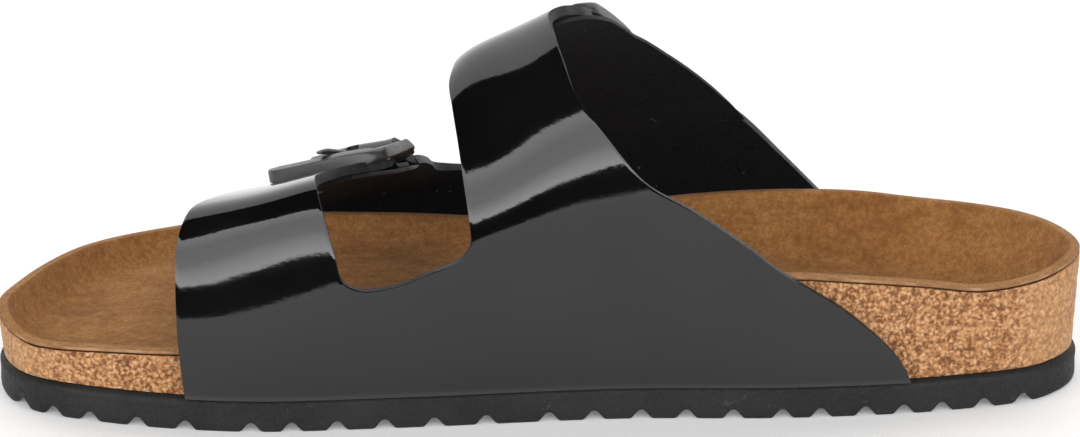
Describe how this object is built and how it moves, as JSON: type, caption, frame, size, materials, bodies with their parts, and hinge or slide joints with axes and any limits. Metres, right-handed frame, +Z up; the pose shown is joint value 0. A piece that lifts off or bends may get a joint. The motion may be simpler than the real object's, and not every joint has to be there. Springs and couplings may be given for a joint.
{
  "type": "slide sandal",
  "caption": "Right-foot slide sandal with glossy black buckled straps over a contoured cork footbed, suede lining and a notched foam outsole.",
  "frame": {"origin": "centre of the bounding box at the floor the sole stands on", "axes": "+X towards the heel, +Y towards the outer side of the foot, +Z up"},
  "size_m": [0.2561, 0.103, 0.09],
  "materials": {
    "black_foam": "matte moulded foam with fine scuffs",
    "cork": "pressed cork granules, lightly sealed",
    "tan_suede": "brushed suede",
    "black_patent": "high-gloss patent over a felt lining",
    "black_metal": "satin black paint"
  },
  "bodies": {
    "root": {"outsole": "black_foam", "cork_footbed": "cork", "footbed_lining": "tan_suede", "upper_medial": "black_patent", "upper_lateral": "black_patent", "buckle_frame_front": "black_metal", "buckle_frame_rear": "black_metal", "buckle_prong_front": "black_metal", "buckle_prong_rear": "black_metal"}
  },
  "joints": []
}
